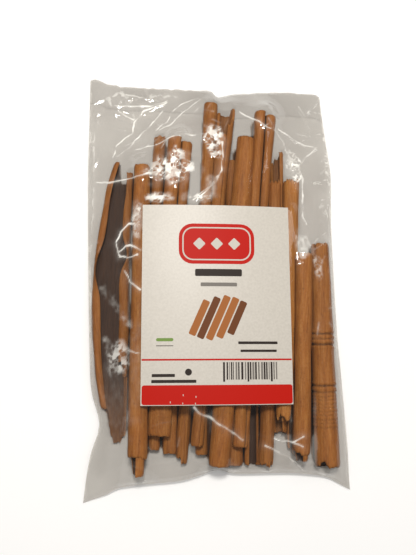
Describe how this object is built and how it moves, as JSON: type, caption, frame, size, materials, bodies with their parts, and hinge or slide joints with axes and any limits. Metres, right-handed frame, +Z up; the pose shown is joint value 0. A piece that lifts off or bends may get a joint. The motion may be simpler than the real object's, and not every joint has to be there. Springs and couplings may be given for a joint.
{
  "type": "sealed bag of cinnamon sticks",
  "caption": "Clear pillow bag packed with long rolled cassia bark sticks, sealed below with pointed corners, folded over at the top, with a plain paper label on its front.",
  "frame": {"origin": "on the surface that the pack lies on, under the middle of its bounding box", "axes": "+Z up out of the labelled front, +Y from the bottom seal to the folded top, +X to the right of the label as it is read"},
  "size_m": [0.1394, 0.229, 0.0214],
  "materials": {
    "clear_film": "clear glossy polypropylene film, crumpled",
    "label_paper": "coated white paper, soft sheen, printed in flat fields",
    "bark": "dry bark, fine lengthwise grain"
  },
  "bodies": {
    "root": {"bag": "clear_film", "label": "label_paper"}
  },
  "joints": []
}
